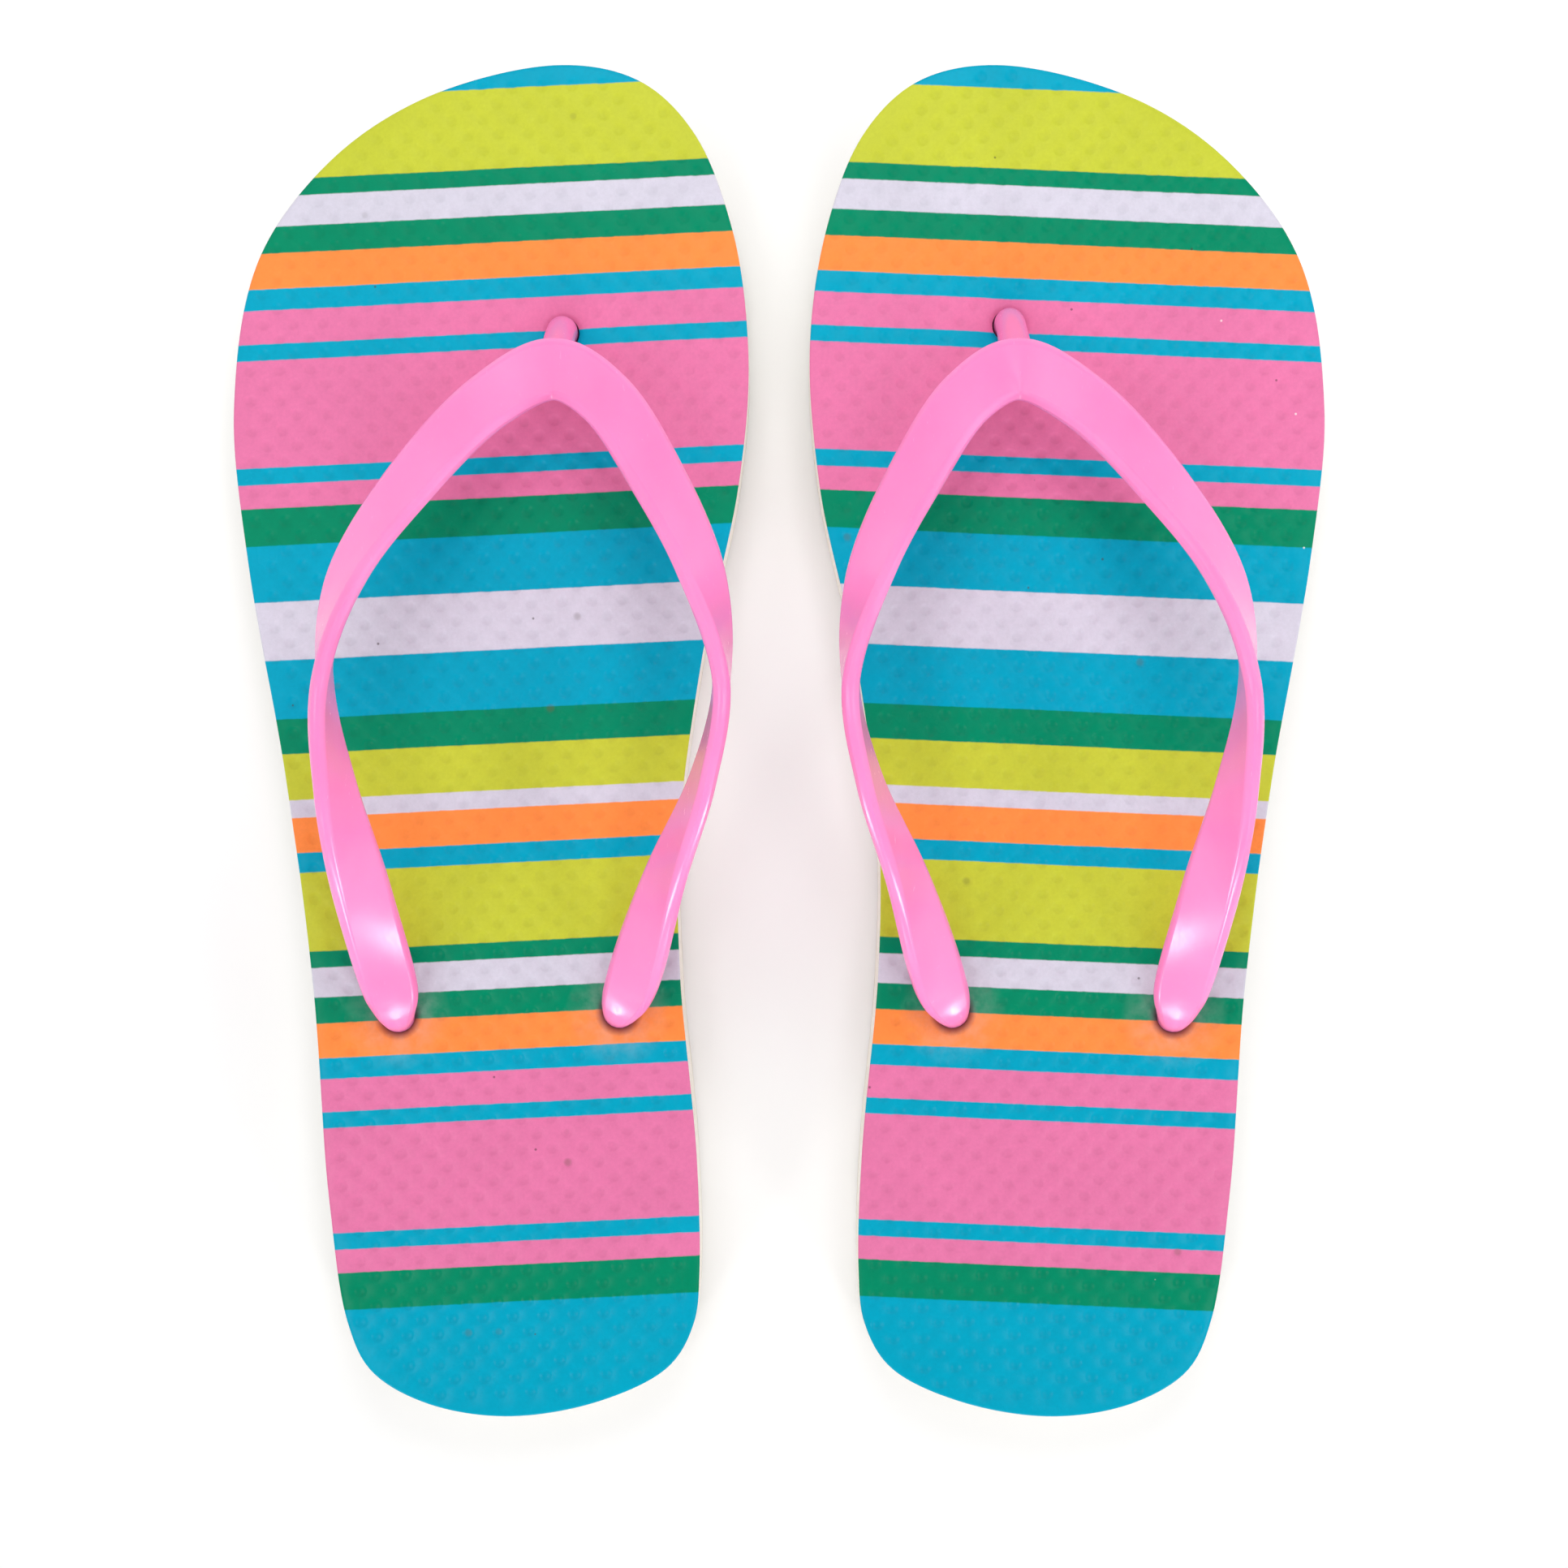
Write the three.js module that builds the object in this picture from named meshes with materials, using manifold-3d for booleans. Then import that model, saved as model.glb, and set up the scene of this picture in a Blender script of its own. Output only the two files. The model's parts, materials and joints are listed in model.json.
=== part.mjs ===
// A pair of women's flip-flops, standing side by side on flat ground.
// Millimetres, +Z up, +Y towards the toes, +X from the left shoe to the right one.
// The origin is on the ground, midway between the two shoes.
//
// Each shoe is three foam sheets, cut to one outline, and a strap moulding that is plugged through them.
// The sheets are cut across at the ball of the foot, where the sole bends.

import * as THREE from 'three';
import { mergeVertices } from 'three/addons/utils/BufferGeometryUtils.js';
import Module from 'manifold-3d';

const wasm = await Module();
wasm.setup();

// ---- Driving dimensions ----

const shoeSpacing = 106.5; // between the middles of the two soles
const clearance = 0.3; // between pieces that touch

const outsoleThickness = 3;
const midsoleThickness = 8.4;
const footbedThickness = 3;

const flexLineY = 30; // the line across the sole where it bends

const ribbonWidth = 10.6;
const yokeWidth = 11;
const ribbonThickness = 3;
const ribbonHeelWidth = 9.8;
const ribbonTipWidth = 5.6;
const shankRadius = 3;
const postRadius = 2.85;
const discRadius = 7.5;
const discThickness = 2.4;
const pocketRadius = discRadius + 0.5; // of the recesses in the outsole that take the discs
const shankRise = 2.6; // of the side shanks over the footbed, into the ribbon

const strapOffsetX = 1.25; // both straps sit this far to the right of the mirrored layout

const circleSides = 24;
const outlineSteps = 120;
const ribbonSteps = 52;
const ribbonSides = 12;
const postSteps = 16;
const mergeTolerance = 1e-4;

const outsoleBottom = 0;
const midsoleBottom = outsoleBottom + outsoleThickness + clearance;
const footbedBottom = midsoleBottom + midsoleThickness + clearance;
const footbedTop = footbedBottom + footbedThickness;

// Every point below is in the left shoe's own axes: x towards its big toe side, y towards the toes, from the middle
// of the sole. The right shoe mirrors x.

const soleOutline = [
  [13, 125],
  [-12, 119],
  [-30, 107],
  [-43, 89],
  [-47.6, 62],
  [-45, 33],
  [-38, -7],
  [-33, -45],
  [-30, -85],
  [-26.6, -107.5],
  [-22.3, -116.5],
  [-12.5, -122.4],
  [3, -125],
  [20.5, -122],
  [33, -115.6],
  [37.6, -107.5],
  [38.6, -98],
  [38, -76],
  [35, -43],
  [34.8, -18],
  [39, 15],
  [45.8, 47],
  [47.6, 72],
  [44.5, 95],
  [37.5, 112.5],
  [27.5, 122],
];

const lateralHole = [-18.5, -51];
const medialHole = [22.4, -50.2];
const toeHoleX = 12;

// The ribbon from the side hole over the little toe side, round the yoke and back to the other side hole.
// Each row is x, y, height over the footbed, roll in degrees and width. At roll 0 the ribbon lies flat, at 90 its
// outer edge points down and at 180 it lies flat on its other face.
const ribbonStations = [
  [-18.5, -51, 2.2, 176, ribbonTipWidth],
  [-18.8, -46, 5.6, 170, ribbonHeelWidth],
  [-21.5, -28, 19.5, 150, ribbonWidth],
  [-24.6, -9, 29.5, 117, ribbonWidth],
  [-26, 9, 34, 87, ribbonWidth],
  [-22.5, 27, 31.8, 50, ribbonWidth],
  [-12.2, 44.5, 26, 26, ribbonWidth],
  [1, 59.8, 19.8, 10, ribbonWidth],
  [12, 65.6, 18, 0, yokeWidth],
  [21, 60.4, 20.5, 10, ribbonWidth],
  [31, 45, 26.3, 27, ribbonWidth],
  [38.8, 28, 31.5, 48, ribbonWidth],
  [42.2, 9, 33.8, 92, ribbonWidth],
  [39, -7, 30, 106, ribbonWidth],
  [32, -24.5, 21, 131, ribbonWidth],
  [25, -44.6, 6.4, 166, ribbonHeelWidth],
  [22.4, -50.2, 2.2, 176, ribbonTipWidth],
];

const postBendHeight = 1.5; // over the footbed, where the post starts to lean back
const postTop = [66.5, 17.5]; // y and height over the footbed, inside the yoke

const shoes = [
  { side: 'left', mirror: 1, toeHoleY: 75.4 },
  { side: 'right', mirror: -1, toeHoleY: 76.9 },
];

// ---- Solids ----

function toSolid(geometry) {
  const plain = geometry.clone();
  plain.deleteAttribute('normal');
  plain.deleteAttribute('uv');
  const merged = mergeVertices(plain, mergeTolerance);
  const mesh = new wasm.Mesh({
    numProp: 3,
    vertProperties: new Float32Array(merged.attributes.position.array),
    triVerts: new Uint32Array(merged.index.array),
  });
  return new wasm.Manifold(mesh);
}

function toGeometry(solid) {
  const mesh = solid.getMesh();
  const geometry = new THREE.BufferGeometry();
  geometry.setAttribute('position', new THREE.BufferAttribute(mesh.vertProperties, 3));
  geometry.setIndex(new THREE.BufferAttribute(mesh.triVerts, 1));
  geometry.computeVertexNormals();
  return geometry;
}

function uprightCylinder(x, y, bottom, top, radius) {
  const geometry = new THREE.CylinderGeometry(radius, radius, top - bottom, circleSides);
  geometry.rotateX(Math.PI / 2);
  geometry.translate(x, y, (bottom + top) / 2);
  return toSolid(geometry);
}

// ---- Places on one shoe, in the pair's axes ----

function placeOn(shoe) {
  const middle = -shoe.mirror * (shoeSpacing / 2);
  const toWorldX = (x) => middle + shoe.mirror * x;
  const strapX = (x) => toWorldX(x) + strapOffsetX;
  return {
    toWorldX,
    strapX,
    sideHoles: [lateralHole, medialHole].map(([x, y]) => [strapX(x), y]),
    toeHole: [strapX(toeHoleX), shoe.toeHoleY],
  };
}

// ---- Sole sheets ----

function soleShape(place) {
  const points = soleOutline.map(([x, y]) => new THREE.Vector3(place.toWorldX(x), y, 0));
  const curve = new THREE.CatmullRomCurve3(points, true, 'centripetal');
  const outline = curve.getSpacedPoints(outlineSteps).slice(0, outlineSteps);
  return new THREE.Shape(outline.map((p) => new THREE.Vector2(p.x, p.y)));
}

function soleSheet(place, bottom, thickness, sideHoleRadius, toeHoleRadius) {
  const geometry = new THREE.ExtrudeGeometry(soleShape(place), { depth: thickness, bevelEnabled: false });
  geometry.translate(0, 0, bottom);
  const overshoot = 1;
  const drill = (x, y, radius) => uprightCylinder(x, y, bottom - overshoot, bottom + thickness + overshoot, radius);
  let sheet = toSolid(geometry);
  for (const [x, y] of place.sideHoles) {
    sheet = sheet.subtract(drill(x, y, sideHoleRadius));
  }
  return sheet.subtract(drill(...place.toeHole, toeHoleRadius));
}

// The half of a sheet ahead of the flex line (direction 1) or behind it (direction -1).
function halfOf(sheet, direction) {
  const reach = 400;
  const box = new THREE.BoxGeometry(reach, reach, reach);
  box.translate(0, flexLineY + direction * (reach + clearance) / 2, 0);
  return sheet.intersect(toSolid(box));
}

// ---- Strap ----

// A closed band through the stations, with rounded corners along it.
function ribbonGeometry(place, shoe) {
  const path = new THREE.CatmullRomCurve3(
    ribbonStations.map(([x, y, height]) => new THREE.Vector3(place.strapX(x), y, footbedTop + height)),
  );
  const rollAndWidth = new THREE.CatmullRomCurve3(
    ribbonStations.map(([, , , roll, width]) => new THREE.Vector3(roll, width, 0)),
  );
  const up = new THREE.Vector3(0, 0, 1);
  const positions = [];
  for (let i = 0; i <= ribbonSteps; i++) {
    const t = i / ribbonSteps;
    const centre = path.getPoint(t);
    const along = path.getTangent(t);
    const shape = rollAndWidth.getPoint(t);
    const roll = THREE.MathUtils.degToRad(shape.x);
    const outward = new THREE.Vector3().crossVectors(up, along).normalize().multiplyScalar(shoe.mirror);
    const raised = new THREE.Vector3().crossVectors(along, outward).multiplyScalar(shoe.mirror);
    const across = outward.clone().multiplyScalar(Math.cos(roll)).addScaledVector(raised, -Math.sin(roll));
    const through = new THREE.Vector3().crossVectors(along, across);
    for (let k = 0; k < ribbonSides; k++) {
      const angle = (2 * Math.PI * k) / ribbonSides;
      const u = (shape.y / 2) * roundedSquare(Math.cos(angle));
      const v = (ribbonThickness / 2) * roundedSquare(Math.sin(angle));
      const p = centre.clone().addScaledVector(across, u).addScaledVector(through, v);
      positions.push(p.x, p.y, p.z);
    }
  }
  return closedTube(positions, ribbonSteps + 1, ribbonSides);
}

// Turns a circle's coordinate into that of a square with round corners.
function roundedSquare(value) {
  return Math.sign(value) * Math.sqrt(Math.abs(value));
}

// Rings of points joined into one closed body, with a flat cap at each end.
function closedTube(positions, rings, sides) {
  const index = [];
  for (let i = 0; i < rings - 1; i++) {
    for (let k = 0; k < sides; k++) {
      const a = i * sides + k;
      const b = i * sides + ((k + 1) % sides);
      index.push(a, b, a + sides, b, b + sides, a + sides);
    }
  }
  const last = (rings - 1) * sides;
  for (let k = 1; k < sides - 1; k++) {
    index.push(0, k + 1, k);
    index.push(last, last + k, last + k + 1);
  }
  const geometry = new THREE.BufferGeometry();
  geometry.setAttribute('position', new THREE.Float32BufferAttribute(positions, 3));
  geometry.setIndex(index);
  return geometry;
}

// Stands in the toe hole, then leans back to the yoke.
function postGeometry(place) {
  const [x, y] = place.toeHole;
  const [topY, topHeight] = postTop;
  const curve = new THREE.CatmullRomCurve3([
    new THREE.Vector3(x, y, clearance),
    new THREE.Vector3(x, y, footbedBottom),
    new THREE.Vector3(x, y, footbedTop + postBendHeight),
    new THREE.Vector3(x, topY, footbedTop + topHeight),
  ]);
  const circle = new THREE.Shape().absarc(0, 0, postRadius, 0, 2 * Math.PI);
  return new THREE.ExtrudeGeometry(circle, {
    steps: postSteps,
    curveSegments: circleSides / 2,
    bevelEnabled: false,
    extrudePath: curve,
  });
}

function strapSolid(place, shoe) {
  const discBottom = outsoleThickness - clearance - discThickness;
  let strap = toSolid(ribbonGeometry(place, shoe)).add(toSolid(postGeometry(place)));
  for (const [x, y] of place.sideHoles) {
    strap = strap.add(uprightCylinder(x, y, discBottom, footbedTop + shankRise, shankRadius));
  }
  for (const [x, y] of [...place.sideHoles, place.toeHole]) {
    strap = strap.add(uprightCylinder(x, y, discBottom, discBottom + discThickness, discRadius));
  }
  return strap;
}

// ---- Materials and assembly ----

const footbedFoam = new THREE.MeshStandardMaterial({ color: 0xe2789f, roughness: 0.75, metalness: 0 });
const whiteFoam = new THREE.MeshStandardMaterial({ color: 0xeeece6, roughness: 0.85, metalness: 0 });
const soleRubber = new THREE.MeshStandardMaterial({ color: 0xe9e6de, roughness: 0.8, metalness: 0 });
const strapPlastic = new THREE.MeshStandardMaterial({ color: 0xfd93d0, roughness: 0.3, metalness: 0 });

const sheets = [
  {
    name: 'footbed',
    bottom: footbedBottom,
    thickness: footbedThickness,
    sideHole: shankRadius + clearance,
    toeHole: postRadius + clearance,
    material: footbedFoam,
  },
  {
    name: 'midsole',
    bottom: midsoleBottom,
    thickness: midsoleThickness,
    sideHole: shankRadius + clearance,
    toeHole: postRadius + clearance,
    material: whiteFoam,
  },
  {
    name: 'outsole',
    bottom: outsoleBottom,
    thickness: outsoleThickness,
    sideHole: pocketRadius,
    toeHole: pocketRadius,
    material: soleRubber,
  },
];

function namedMesh(name, solid, material) {
  const mesh = new THREE.Mesh(toGeometry(solid), material.clone());
  mesh.name = name;
  return mesh;
}

function buildShoe(shoe) {
  const place = placeOn(shoe);
  const group = new THREE.Group();
  for (const { name, bottom, thickness, sideHole, toeHole, material } of sheets) {
    const sheet = soleSheet(place, bottom, thickness, sideHole, toeHole);
    group.add(namedMesh(`${shoe.side}_${name}_front`, halfOf(sheet, 1), material));
    group.add(namedMesh(`${shoe.side}_${name}_rear`, halfOf(sheet, -1), material));
  }
  group.add(namedMesh(`${shoe.side}_strap`, strapSolid(place, shoe), strapPlastic));
  return group;
}

const pair = new THREE.Group();
for (const shoe of shoes) {
  pair.add(buildShoe(shoe));
}

export default pair;
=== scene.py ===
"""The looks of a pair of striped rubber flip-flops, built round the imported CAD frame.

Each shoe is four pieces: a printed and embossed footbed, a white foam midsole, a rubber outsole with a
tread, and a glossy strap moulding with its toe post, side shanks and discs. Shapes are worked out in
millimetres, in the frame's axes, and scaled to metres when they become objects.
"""

import json
import math
import random
from dataclasses import dataclass
from itertools import repeat

import bmesh
import bpy
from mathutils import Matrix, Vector, noise
from mathutils.geometry import delaunay_2d_cdt


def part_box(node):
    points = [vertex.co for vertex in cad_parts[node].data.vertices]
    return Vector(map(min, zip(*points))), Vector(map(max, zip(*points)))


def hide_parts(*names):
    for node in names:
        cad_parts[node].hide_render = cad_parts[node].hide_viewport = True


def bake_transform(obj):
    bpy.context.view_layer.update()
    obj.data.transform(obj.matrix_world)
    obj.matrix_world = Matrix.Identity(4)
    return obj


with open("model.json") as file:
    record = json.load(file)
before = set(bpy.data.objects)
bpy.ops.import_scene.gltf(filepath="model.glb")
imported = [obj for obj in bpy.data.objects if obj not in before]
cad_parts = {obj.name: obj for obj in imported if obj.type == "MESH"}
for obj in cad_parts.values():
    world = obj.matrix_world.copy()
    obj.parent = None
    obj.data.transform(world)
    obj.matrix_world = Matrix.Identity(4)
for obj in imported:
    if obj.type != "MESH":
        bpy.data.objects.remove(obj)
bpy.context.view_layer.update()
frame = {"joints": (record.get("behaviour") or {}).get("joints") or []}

MM = 0.001
UP = Vector((0, 0, 1))
CURVE_NUDGE = 1e-4  # how far along a curve its direction is measured

# ---- Heights, from the frame ----

FOOTBED_LOW, FOOTBED_TOP = (corner.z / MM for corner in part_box("left_footbed_front"))
MIDSOLE_LOW, MIDSOLE_TOP = (corner.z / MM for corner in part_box("left_midsole_front"))
OUTSOLE_LOW, OUTSOLE_TOP = (corner.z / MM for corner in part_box("left_outsole_front"))
UPPER_SEAM = (FOOTBED_LOW + MIDSOLE_TOP) / 2
LOWER_SEAM = (MIDSOLE_LOW + OUTSOLE_TOP) / 2
SEAM_GAP = 0.02

# ---- The sole's plan ----

# Both are from the middle of the sole: x goes towards the big toe's side, and y towards the toes.

SOLE_OUTLINE = [
    (13, 125),
    (-12, 119),
    (-30, 107),
    (-43, 89),
    (-47.6, 62),
    (-45, 33),
    (-38, -7),
    (-33, -45),
    (-30, -85),
    (-26.6, -107.5),
    (-22.3, -116.5),
    (-12.5, -122.4),
    (3, -125),
    (20.5, -122),
    (33, -115.6),
    (37.6, -107.5),
    (38.6, -98),
    (38, -76),
    (35, -43),
    (34.8, -18),
    (39, 15),
    (45.8, 47),
    (47.6, 72),
    (44.5, 95),
    (37.5, 112.5),
    (27.5, 122),
]
OUTLINE_STEPS = 420
MEASURE_STEPS = 12  # for each of those, to measure the way round
GRID_PITCH = 5.0  # of the loose points inside the hidden faces
GRID_EDGE_GAP = 3.0
GRID_HOLE_GAP = 1.5

STRAP_OFFSET_X = 1.25  # both straps sit this far to the right of the mirrored layout
LATERAL_HOLE = (-18.5, -51)
MEDIAL_HOLE = (22.4, -50.2)
TOE_HOLE_X = 12
HOLE_RADIUS = 3.3
HOLE_THROAT = 3.02  # where the footbed grips the strap
HOLE_THROAT_RISE = 1.0  # of the throat's lower end over the footbed's underside
HOLE_SIDES = 36
DISC_RADIUS = 7.5
POCKET_RADIUS = 8.0

# ---- The strap ----

RIBBON_THICKNESS = 3.0
RIBBON_CHAMFER = (1.0, 0.8)  # across and through the band
SHANK_RADIUS = 3.0
POST_RADIUS = 2.75

# x, y, height over the footbed, roll in degrees and width, from one side hole round the yoke to the other.
RIBBON_STATIONS = [
    (-18.8, -46, 5.6, 170, 9.8),
    (-21.5, -28, 19.5, 150, 10.6),
    (-24.6, -9, 29.5, 117, 10.6),
    (-26, 9, 34, 87, 10.6),
    (-22.5, 27, 31.8, 50, 10.6),
    (-12.2, 44.5, 26, 26, 10.6),
    (1, 59.8, 19.8, 10, 10.6),
    (12, 65.6, 18, 0, 11),
    (21, 60.4, 20.5, 10, 10.6),
    (31, 45, 26.3, 27, 10.6),
    (38.8, 28, 31.5, 48, 10.6),
    (42.2, 9, 33.8, 92, 10.6),
    (39, -7, 30, 106, 10.6),
    (32, -24.5, 21, 131, 10.6),
    (25, -44.6, 6.4, 166, 9.8),
]
# From the ribbon's end down into the sole: distance from the hole's middle, height, width and roundness.
TIP_STATIONS = [
    (1.5, 2.3, 7.6, 0.3),
    (0.1, -0.6, 6.1, 0.95),
    (0.0, -5.0, 6.0, 1.0),
    (0.0, -11.0, 6.0, 1.0),
]
POST_TOP = (66.5, 17.5)  # y and height over the footbed, inside the yoke
POST_BEND_HEIGHT = 1.5


@dataclass
class Shoe:
    """What sets one shoe apart from the other, and where its sole and its strap's holes lie."""

    side: str
    mirror: int  # 1 where the big toe is on the +X side
    toe_hole_y: float
    stripe_slope: float  # rise of the printed stripes towards the big toe
    stripe_start: float  # y of the first stripe's front edge, at the middle of the sole
    seed: int  # of its random draws; the numbers 2 and 4 higher serve its lower sheets

    @property
    def forefoot(self):
        return f"{self.side}_forefoot"

    @property
    def heel(self):
        return f"{self.side}_heel"

    @property
    def middle(self):
        hinge = next(j for j in frame["joints"] if j["name"] == f"{self.side}_sole_flex")
        return hinge["pos_m"][0] / MM

    def sole_x(self, x):
        return self.middle + self.mirror * x

    def strap_x(self, x):
        return self.sole_x(x) + STRAP_OFFSET_X

    def side_holes(self):
        return [(self.strap_x(x), y) for x, y in (LATERAL_HOLE, MEDIAL_HOLE)]

    def toe_hole(self):
        return (self.strap_x(TOE_HOLE_X), self.toe_hole_y)

    def holes(self):
        return [*self.side_holes(), self.toe_hole()]


SHOES = [
    Shoe("left", 1, 75.4, 0.050, 120.5, 11),
    Shoe("right", -1, 76.9, 0.043, 120.1, 12),
]


# ---- Curves and outlines ----


def spline(points, closed=False):
    """The centripetal Catmull-Rom curve through the points, as a function of 0 to 1."""
    points = [Vector(p) for p in points]
    spans = len(points) if closed else len(points) - 1

    def control(i):
        if closed:
            return points[i % len(points)]
        if i < 0:
            return 2 * points[0] - points[1]
        if i > spans:
            return 2 * points[-1] - points[-2]
        return points[i]

    def at(t):
        i = min(int(t * spans), spans - 1)
        w = t * spans - i
        a, b, c, d = (control(i + k) for k in (-1, 0, 1, 2))
        before, here, after = (math.sqrt((q - p).length) for p, q in ((a, b), (b, c), (c, d)))
        here = here or 1.0
        before, after = before or here, after or here
        leave = ((b - a) / before - (c - a) / (before + here) + (c - b) / here) * here
        arrive = ((c - b) / here - (d - b) / (here + after) + (d - c) / after) * here
        bend = 3 * (c - b) - 2 * leave - arrive
        return b + leave * w + bend * w**2 + (leave + arrive - 2 * (c - b)) * w**3

    return at


def evenly_spaced(curve, count):
    """Points at equal distances round a closed curve."""
    fine_steps = MEASURE_STEPS * count
    fine = [curve(i / fine_steps) for i in range(fine_steps + 1)]
    travelled = [0.0]
    for a, b in zip(fine, fine[1:]):
        travelled.append(travelled[-1] + (b - a).length)
    picked = []
    i = 0
    for k in range(count):
        wanted = travelled[-1] * k / count
        while travelled[i + 1] < wanted:
            i += 1
        share = (wanted - travelled[i]) / (travelled[i + 1] - travelled[i])
        picked.append(fine[i].lerp(fine[i + 1], share))
    return picked


def sole_outline(shoe):
    """The sole's edge, anticlockwise seen from above."""
    curve = spline([(shoe.sole_x(x), y) for x, y in SOLE_OUTLINE], closed=True)
    points = evenly_spaced(curve, OUTLINE_STEPS)
    return points if shoe.mirror > 0 else points[::-1]


def inset(outline, distance):
    """An anticlockwise outline moved inwards by a number, or by a function of the point's number."""
    moved = []
    for i, p in enumerate(outline):
        along = (outline[(i + 1) % len(outline)] - outline[i - 1]).normalized()
        by = distance(i) if callable(distance) else distance
        moved.append(p + Vector((-along.y, along.x)) * by)
    return moved


def is_inside(outline, x, y):
    """Whether the point lies inside a closed outline."""
    inside = False
    for a, b in zip(outline, outline[1:] + outline[:1]):
        if (a.y > y) != (b.y > y) and x < a.x + (b.x - a.x) * (y - a.y) / (b.y - a.y):
            inside = not inside
    return inside


def circle(centre, radius, sides=HOLE_SIDES):
    turn = 2 * math.pi / sides
    spokes = [Vector((math.cos(k * turn), math.sin(k * turn))) for k in range(sides)]
    return [Vector(centre) + spoke * radius for spoke in spokes]


def distance_to(centre, x, y):
    return math.hypot(x - centre[0], y - centre[1])


def loose_grid(outline, holes, hole_radius):
    """Points on a staggered grid, inside the outline and clear of the holes."""
    edge = inset(outline, GRID_EDGE_GAP)
    clearance = hole_radius + GRID_HOLE_GAP
    xs = [p.x for p in edge]
    ys = [p.y for p in edge]
    found = []
    for row in range(int((max(ys) - min(ys)) / GRID_PITCH)):
        for column in range(int((max(xs) - min(xs)) / GRID_PITCH)):
            x = min(xs) + (column + 0.5 + 0.5 * (row % 2)) * GRID_PITCH
            y = min(ys) + (row + 0.5) * GRID_PITCH
            if all(distance_to(hole, x, y) > clearance for hole in holes) and is_inside(edge, x, y):
                found.append((x, y))
    return found


# ---- Building shapes ----

KEEP_INSIDE = 1  # the triangulation's mode that keeps what lies inside the outermost loop
FLAT_TOLERANCE = 1e-6
SHARP_ANGLE = 40  # degrees between two faces, from which their edge is sharp


class Shape:
    """The points and faces of one piece, in millimetres. Each face has the number of its material."""

    def __init__(self):
        self.points = []
        self.faces = []
        self.materials = []
        self.values = {}

    def add(self, points):
        first = len(self.points)
        self.points += [Vector(p) for p in points]
        return list(range(first, len(self.points)))

    def level(self, flat_points, height):
        return self.add([(p[0], p[1], height) for p in flat_points])

    def face(self, corners, material=0):
        self.faces.append(corners)
        self.materials.append(material)

    def bridge(self, lower, upper, material=0):
        """Joins two closed rings that run anticlockwise from above, upper over lower seen from outside."""
        count = len(lower)
        for k in range(count):
            after = (k + 1) % count
            self.face([lower[k], lower[after], upper[after], upper[k]], material)

    def fill(self, loops, material=0, facing=1, loose=()):
        """A flat face inside the first loop and outside the others. It faces up where facing is 1."""
        known = [i for loop in loops for i in loop]
        owner = {i: number for number, loop in enumerate(loops) for i in loop}
        edges = []
        first = 0
        for loop in loops:
            edges += [(first + k, first + (k + 1) % len(loop)) for k in range(len(loop))]
            first += len(loop)
        known += list(loose)
        flat = [self.points[i].to_2d() for i in known]
        _, _, triangles, origins, _, _ = delaunay_2d_cdt(flat, edges, [], KEEP_INSIDE, FLAT_TOLERANCE)
        for triangle in triangles:
            corners = [known[origins[v][0]] for v in triangle]
            owners = {owner.get(i, 0) for i in corners}
            if len(owners) == 1 and self.is_in_loop(loops[owners.pop()], loops[0], corners):
                continue
            self.face(corners[::facing], material)

    def is_in_loop(self, loop, outer_loop, corners):
        """Whether the face with these corners lies in an inner loop."""
        centre = sum((self.points[i] for i in corners), Vector()) / 3
        return loop is not outer_loop and is_inside([self.points[i] for i in loop], centre.x, centre.y)

    def mark(self, label, indices, value):
        """Gives points a value that a material can read by its label."""
        for i in indices:
            self.values.setdefault(label, {})[i] = value

    def to_object(self, name, materials):
        mesh = bpy.data.meshes.new(name)
        mesh.from_pydata([p * MM for p in self.points], [], self.faces)
        for label, values in self.values.items():
            attribute = mesh.attributes.new(label, "FLOAT", "POINT")
            attribute.data.foreach_set("value", [values.get(i, 0.0) for i in range(len(self.points))])
        for material in materials:
            mesh.materials.append(material)
        mesh.polygons.foreach_set("material_index", self.materials)
        piece = bpy.data.objects.new(name, mesh)
        bpy.context.scene.collection.objects.link(piece)
        finish_mesh(mesh, SHARP_ANGLE)
        return piece


def finish_mesh(mesh, sharp_angle):
    """Drops loose points, shades smooth up to sharp_angle degrees, and stores where each point rests."""
    work = bmesh.new()
    work.from_mesh(mesh)
    bmesh.ops.delete(work, geom=[v for v in work.verts if not v.link_faces], context="VERTS")
    for face in work.faces:
        face.smooth = True
    for edge in work.edges:
        edge.smooth = edge.calc_face_angle(0) < math.radians(sharp_angle)
    work.to_mesh(mesh)
    work.free()
    rest = mesh.attributes.new("rest", "FLOAT_VECTOR", "POINT")
    rest.data.foreach_set("vector", [value for v in mesh.vertices for value in v.co])


# ---- Footbed ----

DIMPLE_PROFILE = [(1.28, 0.0), (1.10, 0.045), (0.82, 0.130), (0.43, 0.180)]  # radius and depth of its rings
DIMPLE_DEPTH = 0.19
DIMPLE_SIDES = 12
DIRT_RARITY = 60  # the higher, the fewer dimples hold dirt
DIMPLE_PITCH = 2.8  # half the distance between dimples of one row, and between rows
EMBOSS_TURN = math.radians(2.2)
EDGE_MARGIN = 1.9
PLUG_DIP = 0.55  # how far the strap's plugs pull the footbed down
PLUG_DIP_REACH = 3.2
DIP_RINGS = (1.5, 2.6)  # rings of points round a hole, this far out from its edge
ROW_RESERVE = 4  # rows more than the sole is long, because the lattice is turned
FOAM_NOISE_SCALE = 0.06
FOAM_UNEVENNESS = 0.07
FOAM_SEED_STEP = 50  # keeps the unevenness of two seeds apart
SHEET_BREAK = (0.25, 0.3)  # a cut sheet's broken edge: inset and height
PRINTED, FOAM = 0, 1
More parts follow.
